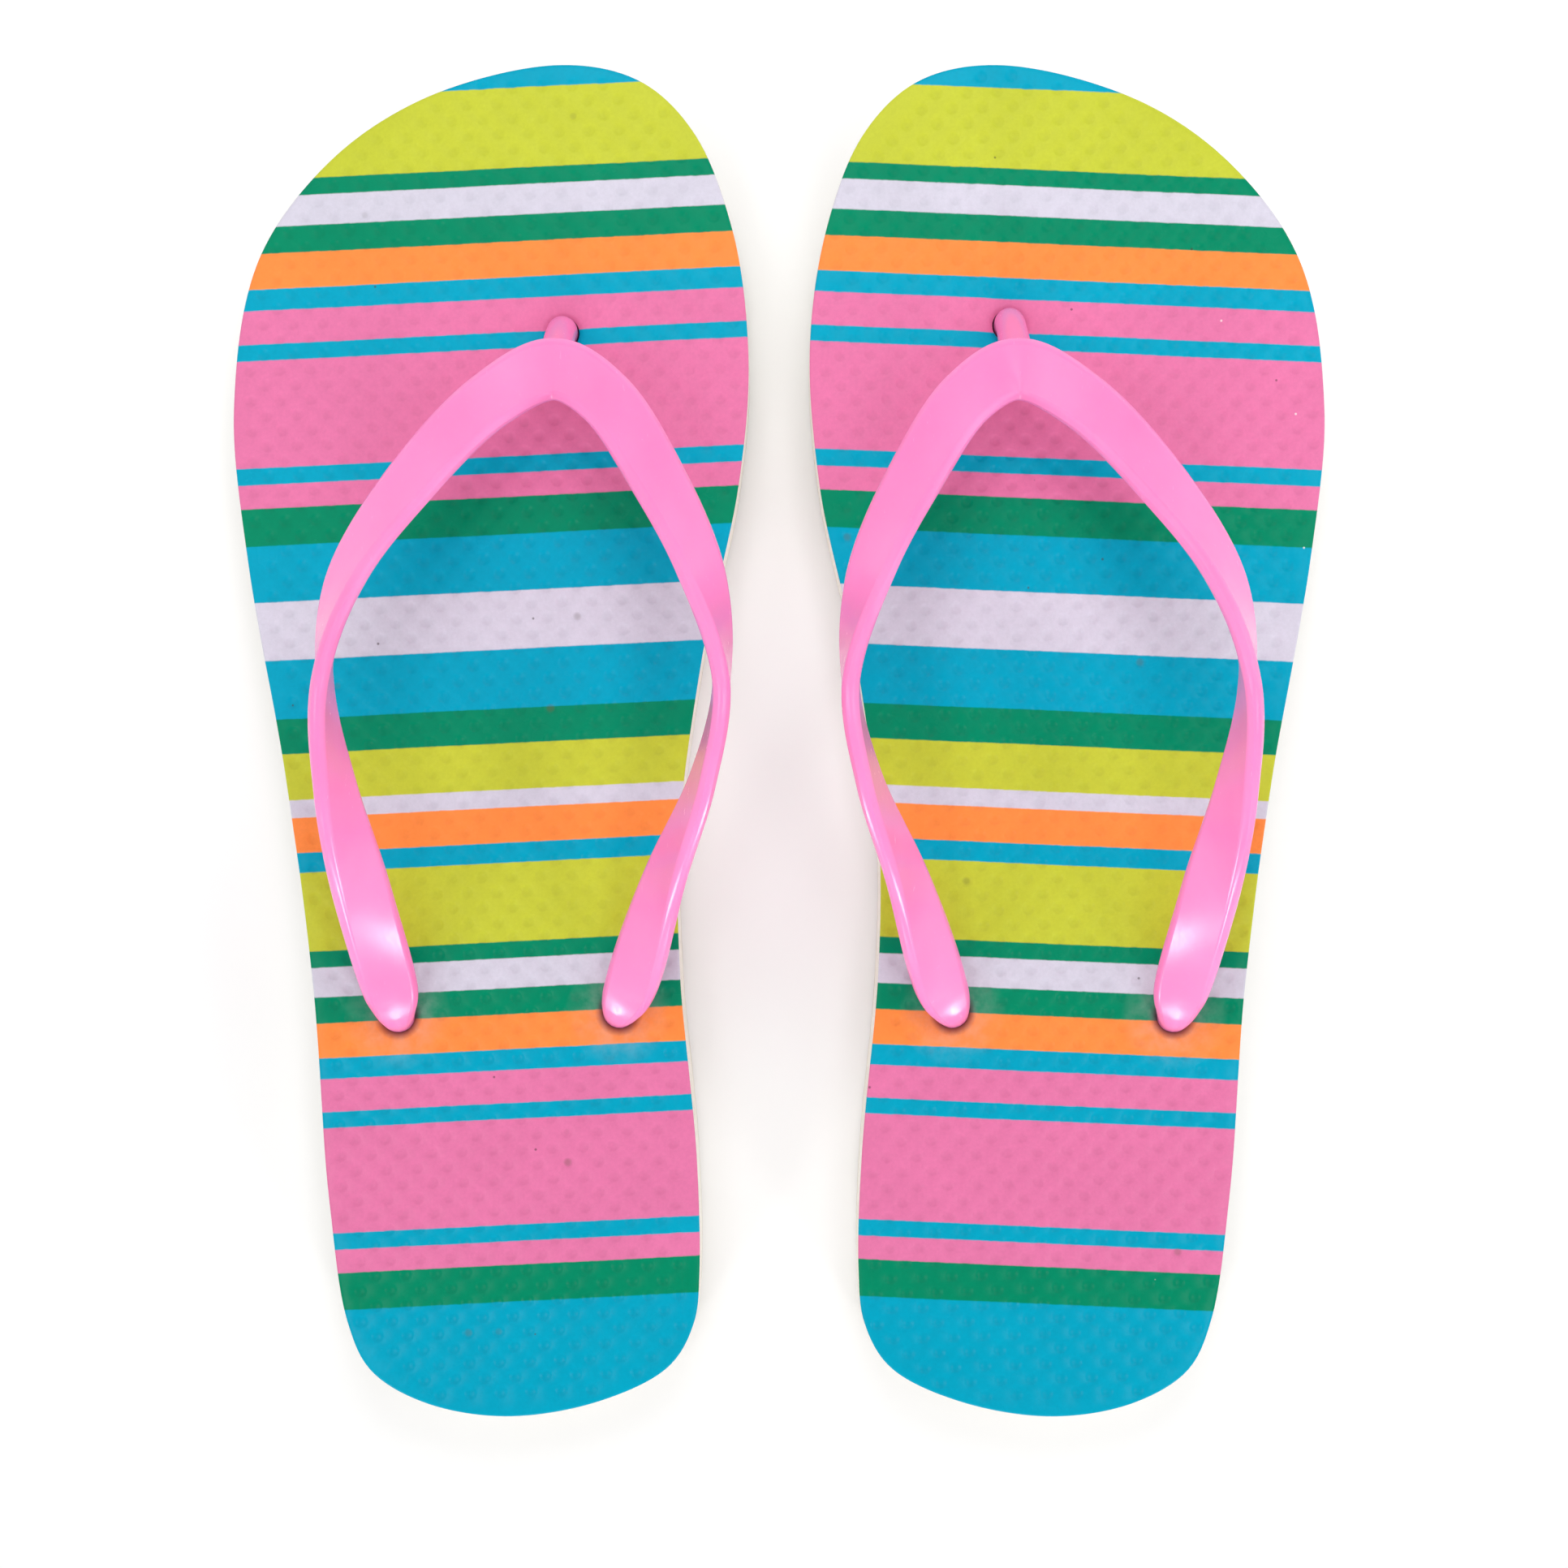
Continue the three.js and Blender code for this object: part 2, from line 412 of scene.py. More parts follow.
# The footbed's side from the top: inset and depth. The print reaches round the first two spans.
FOOTBED_ROUNDOVER = [(0.5, 0.0), (0.22, 0.06), (0.06, 0.22), (0.0, 0.6)]
FOOTBED_SIDE_MATERIALS = [PRINTED, PRINTED, FOAM, FOAM, FOAM]
# A strap hole in the footbed, from its rim: radius and depth under the rim.
HOLE_RIM = [(HOLE_RADIUS + 0.7, 0.0), (HOLE_RADIUS + 0.2, 0.15), (HOLE_THROAT, 0.5)]
HOLE_MATERIALS = [PRINTED, PRINTED, PRINTED, FOAM]


def plug_dip(shoe, x, y):
    """How far the footbed's top is pulled down round the strap's holes."""
    dip = 0.0
    for hole in shoe.holes():
        away = max(0.0, distance_to(hole, x, y) - HOLE_RADIUS)
        dip += PLUG_DIP * math.exp(-((away / PLUG_DIP_REACH) ** 2))
    return dip


def dimple_centres(shoe, outline):
    """A diamond lattice, turned a little against the shoe as the sheet was when it was cut."""
    edge = inset(outline, EDGE_MARGIN)
    across = Vector((math.cos(EMBOSS_TURN), math.sin(EMBOSS_TURN))) * DIMPLE_PITCH
    along = Vector((-across.y, across.x))
    reach = int(max(abs(p.y) for p in outline) / DIMPLE_PITCH) + ROW_RESERVE
    centres = []
    for row in range(-reach, reach + 1):
        for column in range(-reach // 2, reach // 2 + 1):
            if (row + column) % 2:
                continue
            centre = Vector((shoe.middle, 0)) + across * column + along * row
            clear = all(distance_to(h, *centre) > HOLE_RADIUS + EDGE_MARGIN for h in shoe.holes())
            if clear and is_inside(edge, *centre):
                centres.append(centre)
    return centres


def add_dimple(shape, shoe, centre, grime):
    """One round dimple. Gives back its rim, for the flat part round it to join."""
    rings = []
    for radius, depth in DIMPLE_PROFILE:
        ring = []
        for p in circle(centre, radius, DIMPLE_SIDES):
            ring.append((p.x, p.y, FOOTBED_TOP - plug_dip(shoe, *p) - depth))
        rings.append(shape.add(ring))
        # The depth share, by which the print is darkened as painted shade.
        shape.mark("dimple", rings[-1], depth / DIMPLE_DEPTH)
        shape.mark("grime", rings[-1], grime * depth / DIMPLE_DEPTH)
    bottom = shape.add([(*centre, FOOTBED_TOP - plug_dip(shoe, *centre) - DIMPLE_DEPTH)])
    shape.mark("dimple", bottom, 1.0)
    shape.mark("grime", bottom, grime)
    for outer, inner in zip(rings, rings[1:]):
        shape.bridge(outer, inner)
    for k in range(DIMPLE_SIDES):
        shape.face([rings[-1][k], rings[-1][(k + 1) % DIMPLE_SIDES], bottom[0]])
    return rings[0]


def foam_wall(shape, outline, profile, seed, materials=repeat(0)):
    """The cut side of a sheet, from the top down, as (inset, height) rows, a little uneven as cut foam is."""
    rings = []
    for distance, height in profile:
        def uneven(i):
            place = Vector((outline[i].x, outline[i].y, seed * FOAM_SEED_STEP + height)) * FOAM_NOISE_SCALE
            return distance + FOAM_UNEVENNESS * noise.noise(place)
        rings.append(shape.level(inset(outline, uneven), height))
    for upper, lower, material in zip(rings, rings[1:], materials):
        shape.bridge(lower, upper, material)
    return rings[0], rings[-1]


def hole_wall(shape, centre, profile, materials=repeat(0)):
    """A hole's side, from the top down, as (radius, height) rows."""
    rings = [shape.level(circle(centre, radius), height) for radius, height in profile]
    for upper, lower, material in zip(rings, rings[1:], materials):
        shape.bridge(upper, lower, material)
    return rings[0], rings[-1]


def footbed(shoe, outline):
    """The printed top sheet, embossed with dimples."""
    shape = Shape()
    draw = random.Random(shoe.seed)
    low = UPPER_SEAM + SEAM_GAP
    break_inset, break_height = SHEET_BREAK
    side = [(away, FOOTBED_TOP - depth) for away, depth in FOOTBED_ROUNDOVER]
    side += [(0.0, low + break_height), (break_inset, low)]
    top_edge, bottom_edge = foam_wall(shape, outline, side, shoe.seed, FOOTBED_SIDE_MATERIALS)
    top_loops, bottom_loops = [top_edge], [bottom_edge]
    hole_side = [(radius, FOOTBED_TOP - PLUG_DIP - depth) for radius, depth in HOLE_RIM]
    hole_side += [(HOLE_THROAT, FOOTBED_LOW + HOLE_THROAT_RISE), (HOLE_RADIUS, low)]
    loose = []
    for hole in shoe.holes():
        rim, foot = hole_wall(shape, hole, hole_side, HOLE_MATERIALS)
        top_loops.append(rim)
        bottom_loops.append(foot)
        for away in DIP_RINGS:
            ring = circle(hole, HOLE_RADIUS + away)
            loose += shape.add([(p.x, p.y, FOOTBED_TOP - plug_dip(shoe, *p)) for p in ring])
    for centre in dimple_centres(shoe, outline):
        grime = draw.random() ** DIRT_RARITY
        top_loops.append(add_dimple(shape, shoe, centre, grime))
    shape.fill(top_loops, PRINTED, 1, loose)
    grid = shape.level(loose_grid(outline, shoe.holes(), HOLE_RADIUS), low)
    shape.fill(bottom_loops, FOAM, -1, grid)
    return shape


# ---- Midsole and outsole ----

MIDSOLE_BULGE = 0.06
MIDSOLE_STEPS = 6  # of its bulged side
SHEET_STEP = 0.05  # the lower sheets are cut this much smaller than the one above


def midsole(shoe, outline):
    """The thick white foam core."""
    shape = Shape()
    top, low = UPPER_SEAM - SEAM_GAP, LOWER_SEAM + SEAM_GAP
    break_inset, break_height = SHEET_BREAK
    bulged_height = top - low - 2 * break_height
    profile = [(break_inset, top), (0.0, top - break_height)]
    for k in range(1, MIDSOLE_STEPS):
        bulge = MIDSOLE_BULGE * math.sin(math.pi * k / MIDSOLE_STEPS)
        profile.append((-bulge, top - break_height - bulged_height * k / MIDSOLE_STEPS))
    profile += [(SHEET_STEP, low + break_height), (break_inset, low)]
    top_edge, bottom_edge = foam_wall(shape, outline, profile, shoe.seed + 2)
    top_loops, bottom_loops = [top_edge], [bottom_edge]
    for hole in shoe.holes():
        rim, foot = hole_wall(shape, hole, [(HOLE_RADIUS, top), (HOLE_RADIUS, low)])
        top_loops.append(rim)
        bottom_loops.append(foot)
    grid = loose_grid(outline, shoe.holes(), HOLE_RADIUS)
    shape.fill(top_loops, facing=1, loose=shape.level(grid, top))
    shape.fill(bottom_loops, facing=-1, loose=shape.level(grid, low))
    return shape


GROUND_BREAK = (0.35, 0.4)  # the outsole's lower edge: inset and height
TREAD_DEPTH = 1.0
TREAD_BORDER = 4.0
PAD_HALF_LENGTH = 13.0  # of the flat pads round the side pockets
PAD_MARGIN = 10.2
COLLAR_RADIUS = 10.6
STUD = [(-4.3, 0), (-2.4, -1.9), (2.4, -1.9), (4.3, 0), (2.4, 1.9), (-2.4, 1.9)]
STUD_PITCH = (11.8, 3.2)
STUD_CLEARANCE = 1.2  # as a share of its size
STUD_TAPER = 0.9
STUD_RECESS = 0.05  # the studs stand this much short of the border
WALL_SLOPE = 0.4  # how far the tread's border leans inwards
POCKET_EDGE = 0.3  # the broken edge of a pocket


def tread_edge(shoe, outline, extra=0.0):
    """The inner edge of the outsole's flat border, which widens into a pad round each side pocket."""
    def width(i):
        p = outline[i]
        depth = TREAD_BORDER + extra
        for hole in shoe.side_holes():
            if (p.x - shoe.middle) * (hole[0] - shoe.middle) > 0:
                reach = abs(p.x - hole[0]) + PAD_MARGIN - TREAD_BORDER
                depth += reach * math.exp(-(((p.y - hole[1]) / PAD_HALF_LENGTH) ** 4))
        return depth
    return inset(outline, width)


def stud_centres(shoe, edge):
    """Staggered rows of tread studs, inside the edge and clear of the toe pocket's collar."""
    rows = int(max(abs(p.y) for p in edge) / STUD_PITCH[1]) + 1
    columns = int(max(abs(p.x - shoe.middle) for p in edge) / STUD_PITCH[0]) + 1
    centres = []
    for row in range(-rows, rows + 1):
        for column in range(-columns, columns + 1):
            x = shoe.middle + (column + 0.5 * (row % 2)) * STUD_PITCH[0]
            y = row * STUD_PITCH[1]
            corners = [(x + STUD_CLEARANCE * u, y + STUD_CLEARANCE * v) for u, v in STUD]
            clear = all(distance_to(shoe.toe_hole(), *corner) > COLLAR_RADIUS for corner in corners)
            if clear and all(is_inside(edge, *corner) for corner in corners):
                centres.append((x, y))
    return centres


def outsole(shoe, outline):
    """The rubber sheet with its tread and the pockets for the strap's discs."""
    shape = Shape()
    top, ground = LOWER_SEAM - SEAM_GAP, OUTSOLE_LOW
    field = ground + TREAD_DEPTH
    break_inset, break_height = SHEET_BREAK
    ground_inset, ground_height = GROUND_BREAK
    profile = [(break_inset, top), (SHEET_STEP, top - break_height)]
    profile += [(SHEET_STEP, ground + ground_height), (ground_inset, ground)]
    top_edge, ground_edge = foam_wall(shape, outline, profile, shoe.seed + 4)
    border = shape.level(tread_edge(shoe, outline), ground)
    field_plan = tread_edge(shoe, outline, WALL_SLOPE)
    field_edge = shape.level(field_plan, field)
    shape.bridge(field_edge, border)
    top_loops, ground_loops, field_loops = [top_edge], [ground_edge, border], [field_edge]
    pocket = [(POCKET_RADIUS, top), (POCKET_RADIUS, ground + POCKET_EDGE)]
    pocket += [(POCKET_RADIUS + POCKET_EDGE, ground)]
    for hole in shoe.side_holes():
        rim, foot = hole_wall(shape, hole, pocket)
        top_loops.append(rim)
        ground_loops.append(foot)
    collar = [(COLLAR_RADIUS - POCKET_EDGE, ground), (COLLAR_RADIUS, field)]
    rim, foot = hole_wall(shape, shoe.toe_hole(), pocket + collar)
    top_loops.append(rim)
    field_loops.append(foot)
    for x, y in stud_centres(shoe, field_plan):
        base = shape.level([(x + u, y + v) for u, v in STUD], field)
        top_plan = [(x + STUD_TAPER * u, y + STUD_TAPER * v) for u, v in STUD]
        crown = shape.level(top_plan, ground + STUD_RECESS)
        shape.bridge(crown, base)
        shape.face(crown[::-1])
        field_loops.append(base)
    grid = shape.level(loose_grid(outline, shoe.holes(), POCKET_RADIUS), top)
    shape.fill(top_loops, facing=1, loose=grid)
    shape.fill(ground_loops, facing=-1)
    shape.fill(field_loops, facing=-1)
    return shape


# ---- Strap ----

FACE_SHARES = (0.04, 0.25, 0.5, 0.75, 0.96)  # where a face has points between its corners
FACE_CROWN = 0.08
CORNER_ROUND = 0.34
PARTING_RIDGE = 0.05
RIBBON_STEPS = 300
ROUND_MIDDLE = 0.25  # share of each end in the middle point of a rounded corner
TIP_ROLL = 176  # of the shanks, in degrees
LEVEL_ENOUGH = 0.55  # level part of the ribbon's direction, under which it keeps the turn that it has
STRAP_SHARP_ANGLE = 24
DISC_LOW = OUTSOLE_LOW + 0.45
DISC_TOP = OUTSOLE_TOP - 0.35
DISC_EDGE = 0.35
DISC_LOWER_EDGE = 0.5
DISC_RIM = 1.7  # width of the raised rim under it
DISC_RIM_HEIGHT = 0.25
DISC_RIM_SLOPE = 0.3
SHANK_FILLET = [(0.0, 0.9), (0.15, 0.3), (0.7, 0.0)]  # where a shank meets its disc: widening and height
DISC_CENTRE = 1.0  # radius of its innermost ring
POST_STEPS = 40
POST_SIDES = 32
POST_FOOT_RISE = 0.6  # of the post's lowest ring over the outsole's top
POST_FLARE = 0.55  # how much wider the post is at its top
POST_FLARE_START = 0.7  # as a share of its length


def band_section(width):
    """The ribbon's section: flat faces with a slight crown, chamfers, and a parting line on each side."""
    flat = width / 2 - RIBBON_CHAMFER[0]
    side = RIBBON_THICKNESS / 2 - RIBBON_CHAMFER[1]
    quarter = [(width / 2, side), (flat, RIBBON_THICKNESS / 2)]
    corners = quarter + [(-u, v) for u, v in quarter[::-1]]
    corners += [(-u, -v) for u, v in corners]
    corners = [Vector(c) for c in corners]
    section = [Vector((width / 2 + PARTING_RIDGE, 0))]
    top_start, left_side, bottom_start = 1, 3, 5
    for i, corner in enumerate(corners):
        before = (corners[i - 1] - corner).normalized() * CORNER_ROUND
        after = (corners[(i + 1) % len(corners)] - corner).normalized() * CORNER_ROUND
        section += [corner + before, corner + (before + after) * ROUND_MIDDLE, corner + after]
        if i in (top_start, bottom_start):
            far = corners[i + 1]
            for share in FACE_SHARES:
                crown = FACE_CROWN * 4 * share * (1 - share) * math.copysign(1, corner.y)
                section.append(corner.lerp(far, share) + Vector((0, crown)))
        if i == left_side:
            section.append(Vector((-width / 2 - PARTING_RIDGE, 0)))
    return section


def ribbon_section(width, roundness):
    """Between the flat band at roundness 0 and a round bar at 1."""
    section = []
    for p in band_section(width):
        angle = math.atan2(p.y * width / RIBBON_THICKNESS, p.x)
        bar = Vector((math.cos(angle), math.sin(angle))) * (width / 2)
        section.append(p.lerp(bar, roundness))
    return section


def strap_stations(shoe):
    """The ribbon's stations with the shanks at both ends: place, and (roll, width, roundness)."""
    places, forms = [], []
    for x, y, height, roll, width in RIBBON_STATIONS:
        places.append(Vector((shoe.strap_x(x), y, FOOTBED_TOP + height)))
        forms.append(Vector((roll, width, 0)))
    lateral, medial = shoe.side_holes()
    for hole, at_start in ((lateral, True), (medial, False)):
        foot = Vector((*hole, FOOTBED_TOP))
        away = places[0 if at_start else -1] - foot
        away = Vector((away.x, away.y, 0)).normalized()
        for distance, height, width, roundness in TIP_STATIONS:
            place = foot + away * distance + UP * height
            form = Vector((TIP_ROLL, width, roundness))
            places.insert(0 if at_start else len(places), place)
            forms.insert(0 if at_start else len(forms), form)
    return spline(places), spline(forms)


def direction(path, t):
    """Which way a curve runs at t."""
    return (path(min(1, t + CURVE_NUDGE)) - path(max(0, t - CURVE_NUDGE))).normalized()


def ribbon_rings(shoe):
    """The ribbon and its two shanks as rings of points, from one shank's foot to the other's."""
    path, form = strap_stations(shoe)
    frames = []
    for i in range(RIBBON_STEPS + 1):
        t = i / RIBBON_STEPS
        frames.append((path(t), direction(path, t), form(t)))
    rings = [None] * len(frames)
    middle = len(frames) // 2
    for order in (range(middle, len(frames)), range(middle - 1, -1, -1)):
        across = None
        for i in order:
            centre, along, (roll, width, roundness) = frames[i]
            if math.hypot(along.x, along.y) > LEVEL_ENOUGH:
                outward = UP.cross(along).normalized() * shoe.mirror
                raised = along.cross(outward) * shoe.mirror
                turn = math.radians(roll)
                across = outward * math.cos(turn) - raised * math.sin(turn)
            else:
                across = (across - along * across.dot(along)).normalized()
            through = along.cross(across)
            section = ribbon_section(width, min(1, max(0, roundness)))
            rings[i] = [centre + across * p.x + through * p.y for p in section]
    return rings


def disc_rings(ring, centre, radius, downwards):
    """The retaining disc under a shank: rings that widen from the shank's own last ring."""
    rim_inside = DISC_RADIUS - DISC_LOWER_EDGE - DISC_RIM
    rows = [(radius + widened, DISC_TOP + height) for widened, height in SHANK_FILLET]
    rows += [
        (DISC_RADIUS - DISC_EDGE, DISC_TOP),
        (DISC_RADIUS, DISC_TOP - DISC_EDGE),
        (DISC_RADIUS, DISC_LOW + DISC_LOWER_EDGE),
        (DISC_RADIUS - DISC_LOWER_EDGE, DISC_LOW),
        (rim_inside, DISC_LOW),
        (rim_inside - DISC_RIM_SLOPE, DISC_LOW + DISC_RIM_HEIGHT),
        (DISC_CENTRE, DISC_LOW + DISC_RIM_HEIGHT),
    ]
    middle = Vector(centre)
    outwards = [(p.to_2d() - middle).normalized() for p in ring]
    rings = [[(*(middle + way * reach), height) for way in outwards] for reach, height in rows]
    return rings if downwards else rings[::-1]


def tube(rings):
    """A closed body through the rings, with flat ends."""
    shape = Shape()
    indices = [shape.add(ring) for ring in rings]
    for a, b in zip(indices, indices[1:]):
        shape.bridge(a, b)
    shape.face(indices[0][::-1])
    shape.face(indices[-1])
    return shape


def post_rings(shoe):
    """The toe post, from the disc up to the inside of the yoke."""
    x, y = shoe.toe_hole()
    top_y, top_height = POST_TOP
    path = spline([
        (x, y, OUTSOLE_TOP + POST_FOOT_RISE),
        (x, y, FOOTBED_LOW),
        (x, y, FOOTBED_TOP + POST_BEND_HEIGHT),
        (x, top_y, FOOTBED_TOP + top_height),
    ])
    rings = []
    for i in range(POST_STEPS + 1):
        t = i / POST_STEPS
        along = direction(path, t)
        side = along.cross(Vector((0, 1, 0))).normalized()
        other = along.cross(side)
        flared = max(0, (t - POST_FLARE_START) / (1 - POST_FLARE_START))
        radius = POST_RADIUS + POST_FLARE * flared**2
        rings.append([path(t) + side * p.x + other * p.y for p in circle((0, 0), radius, POST_SIDES)])
    return disc_rings(rings[0], (x, y), POST_RADIUS, downwards=False) + rings


def turned_outwards(shape, name):
    """A plain object of the shape with its faces turned outwards."""
    piece = shape.to_object(name, [])
    work = bmesh.new()
    work.from_mesh(piece.data)
    bmesh.ops.recalc_face_normals(work, faces=work.faces)
    work.to_mesh(piece.data)
    work.free()
    return piece


def strap(shoe, material):
    """The whole strap moulding as one body."""
    rings = ribbon_rings(shoe)
    lateral, medial = shoe.side_holes()
    start = disc_rings(rings[0], lateral, SHANK_RADIUS, downwards=False)
    end = disc_rings(rings[-1], medial, SHANK_RADIUS, downwards=True)
    band = turned_outwards(tube(start + rings + end), f"{shoe.side}_strap_moulding")
    post = turned_outwards(tube(post_rings(shoe)), f"{shoe.side}_post")
    join = band.modifiers.new("join", "BOOLEAN")
    join.operation = "UNION"
    join.solver = "EXACT"
    join.object = post
    evaluated = band.evaluated_get(bpy.context.evaluated_depsgraph_get())
    joined = bpy.data.meshes.new_from_object(evaluated)
    band.modifiers.clear()
    band.data = joined
    bpy.data.objects.remove(post)
    joined.attributes.remove(joined.attributes["rest"])
    joined.materials.clear()
    joined.materials.append(material)
    finish_mesh(joined, STRAP_SHARP_ANGLE)
    return band


# ---- Material nodes ----

# Noise and cells have their scale in waves or cells to the metre.
NOISE_RANGE = (0.3, 0.7)  # where nearly all of a noise texture's values lie


def linear(red, green, blue):
    """A screen colour, 0 to 255, as the linear colour that shaders take."""
    parts = []
    for value in (red, green, blue):
        value /= 255
        parts.append(value / 12.92 if value <= 0.04045 else ((value + 0.055) / 1.055) ** 2.4)
    return (*parts, 1)


class Nodes:
    """Short calls that make and link the nodes of one material."""

    def __init__(self, name):
        self.material = bpy.data.materials.new(name)
        self.material.use_nodes = True
        self.tree = self.material.node_tree
        self.shader = self.tree.nodes["Principled BSDF"]

    def make(self, kind, inputs, **settings):
        node = self.tree.nodes.new(kind)
        for name, value in settings.items():
            setattr(node, name, value)
        for name, value in inputs.items():
            self.put(node, name, value)
        return node

    def put(self, node, name, value):
        if isinstance(value, bpy.types.NodeSocket):
            self.tree.links.new(value, node.inputs[name])
        else:
            node.inputs[name].default_value = value

    def number(self, name):
        return self.make("ShaderNodeAttribute", {}, attribute_name=name).outputs["Fac"]

    def place(self):
        return self.make("ShaderNodeAttribute", {}, attribute_name="rest").outputs["Vector"]

    def math(self, operation, a, b):
        return self.make("ShaderNodeMath", {0: a, 1: b}, operation=operation).outputs[0]

    def vectors(self, operation, a, b):
        return self.make("ShaderNodeVectorMath", {0: a, 1: b}, operation=operation)

    def step(self, value, low, high, to_low=0.0, to_high=1.0):
        inputs = {"Value": value, "From Min": low, "From Max": high, "To Min": to_low, "To Max": to_high}
        return self.make("ShaderNodeMapRange", inputs).outputs["Result"]

    def mix(self, share, a, b, blend="MIX"):
        """Two colours mixed. The node's colour sockets go by number, since their names aren't their own."""
        made = self.make("ShaderNodeMix", {0: share, 6: a, 7: b}, data_type="RGBA", blend_type=blend)
        return made.outputs[2]

    def grey(self, value):
        parts = {"Red": value, "Green": value, "Blue": value}
        return self.make("ShaderNodeCombineColor", parts).outputs["Color"]

    def noise(self, place, scale, detail=3.0, roughness=0.5):
        inputs = {"Vector": place, "Scale": scale, "Detail": detail, "Roughness": roughness}
        return self.make("ShaderNodeTexNoise", inputs).outputs["Fac"]

    def cells(self, place, scale):
        """The distance to the middle of the nearest random cell, as a share of a cell."""
        return self.make("ShaderNodeTexVoronoi", {"Vector": place, "Scale": scale}).outputs["Distance"]

    def stretched(self, place, scale, offset=(0, 0, 0)):
        inputs = {"Vector": place, "Scale": scale, "Location": offset}
        return self.make("ShaderNodeMapping", inputs).outputs["Vector"]

    def bump(self, height, distance, strength, normal=None):
        inputs = {"Height": height, "Distance": distance, "Strength": strength}
        if normal is not None:
            inputs["Normal"] = normal
        return self.make("ShaderNodeBump", inputs).outputs[0]

    def finish(self, **sockets):
        """Sets the shader's sockets, each named in lower case with underscores."""
        for name, value in sockets.items():
            self.put(self.shader, name.replace("_", " ").title().replace("Ior", "IOR"), value)
        return self.material


LIME = linear(192, 198, 59)
GREEN = linear(0, 133, 96)
LILAC = linear(206, 202, 216)
ORANGE = linear(249, 139, 68)
AQUA = linear(0, 158, 188)
PINK = linear(222, 117, 163)

PRINT_DUST = linear(214, 206, 205)
PRINT_GRIME = linear(92, 84, 60)
# The colour of the painted shade at the side holes' rims.
PRINT_RIM_SHADE = linear(96, 38, 70)
DARK_SPECK = linear(60, 52, 48)
PALE_SPECK = linear(240, 236, 232)
FOAM_SHADES = (linear(229, 224, 213), linear(241, 238, 231))
FOAM_PIT = linear(186, 178, 162)
RUBBER = linear(226, 222, 211)
RUBBER_DUST = linear(205, 198, 182)
RUBBER_SPECK = linear(150, 142, 126)
VINYL_SHADES = (linear(246, 131, 192), linear(249, 141, 200))
# The colour of the painted shade where the strap meets the footbed.
VINYL_FOOT_SHADE = linear(120, 48, 100)
FLOOR_SHADES = (linear(245, 245, 245), linear(247, 247, 247))

# The printed stripes from the toes to the heel: colour and width along the sole, in millimetres.
STRIPE_MOTIF = [
    (LIME, 14.7),
    (GREEN, 3.1),
    (LILAC, 5.55),
    (GREEN, 4.9),
    (ORANGE, 6.5),
    (AQUA, 3.9),
    (PINK, 6.15),
    (AQUA, 3.0),
    (PINK, 19.7),
    (AQUA, 3.1),
    (PINK, 4.35),
    (GREEN, 6.9),
    (AQUA, 10.35),
]
STRIPES_BETWEEN = [
    (LILAC, 10.8),
    (AQUA, 10.95),
    (GREEN, 6.45),
    (LIME, 8.55),
    (LILAC, 3.3),
    (ORANGE, 6.5),
    (AQUA, 3.7),
]
PRINT_STRETCH = 0.008  # the print is this much longer in the first motif and shorter in the second
PRINT_EDGE = 0.12  # half the width over which one ink fades into the next
PRINT_FUZZ = 0.09  # how far an ink's edge frays
PRINT_WANDER = 0.12  # how far a stripe's edge wanders
GRIME_VALUES = (0.55, 1.0)  # of the grime marked on the dimples, where it starts to show and is full
GRIME_STRENGTH = 0.42
DUST_REACH = 10.0  # from the middle of a side hole
RIM_SHADE = (3.1, 4.5)  # radii between which the painted shade at a side hole's rim fades out
RIM_SHADE_STRENGTH = 0.75
SPECK_SHARE = 0.6  # how far a speck hides the print
PALE_OFFSET = (3.1, 1.7, 0)  # keeps the pale specks off the dark ones
STRAP_FOOT_SHADE = (-0.4, 1.8)  # heights over the footbed between which the painted shade at the strap's foot fades out
STRAP_FOOT_SHADE_STRENGTH = 0.45


def stripes():
    """Every stripe's front edge, from the toes: its distance from the first one, and its colour."""
    first = [(colour, width * (1 + PRINT_STRETCH)) for colour, width in STRIPE_MOTIF]
    second = [(colour, width * (1 - PRINT_STRETCH)) for colour, width in STRIPE_MOTIF]
    edges = []
    distance = 0.0
    for colour, width in first + STRIPES_BETWEEN + second:
        edges.append((distance, colour))
        distance += width
    return edges


def near_holes(nodes, place, holes, near, far):
    """1 closer than near to the middle of a hole, down to 0 at far."""
    flat = nodes.vectors("MULTIPLY", place, (1, 1, 0)).outputs["Vector"]
    share = 0.0
    for x, y in holes:
        away = nodes.vectors("DISTANCE", flat, (x * MM, y * MM, 0)).outputs["Value"]
        share = nodes.math("ADD", share, nodes.step(away, near * MM, far * MM, 1.0, 0.0))
    return share


def soiled_and_shaded(nodes, place, colour, shoe):
    """The print's colour with grime in a few dimples, dust round the side holes, painted shade at their rims,
    and specks.
    """
    grime = nodes.step(nodes.number("grime"), *GRIME_VALUES, 0.0, GRIME_STRENGTH)
    colour = nodes.mix(grime, colour, PRINT_GRIME)
    rubbed = near_holes(nodes, place, shoe.side_holes(), HOLE_RADIUS, DUST_REACH)
    patchy = nodes.step(nodes.noise(place, 420, 3), 0.35, 0.65, 0.05, 0.22)
    colour = nodes.mix(nodes.math("MULTIPLY", rubbed, patchy), colour, PRINT_DUST)
    # Painted shade: a dark ring round each side hole's rim, where the strap's shank goes in.
    rim = near_holes(nodes, place, shoe.side_holes(), *RIM_SHADE)
    colour = nodes.mix(nodes.math("MULTIPLY", rim, RIM_SHADE_STRENGTH), colour, PRINT_RIM_SHADE)
    dark = nodes.step(nodes.cells(place, 75), 0.014, 0.022, SPECK_SHARE, 0.0)
    colour = nodes.mix(dark, colour, DARK_SPECK)
    elsewhere = nodes.stretched(place, (1, 1, 1), PALE_OFFSET)
    pale = nodes.step(nodes.cells(elsewhere, 62), 0.010, 0.016, SPECK_SHARE, 0.0)
    return nodes.mix(pale, colour, PALE_SPECK)


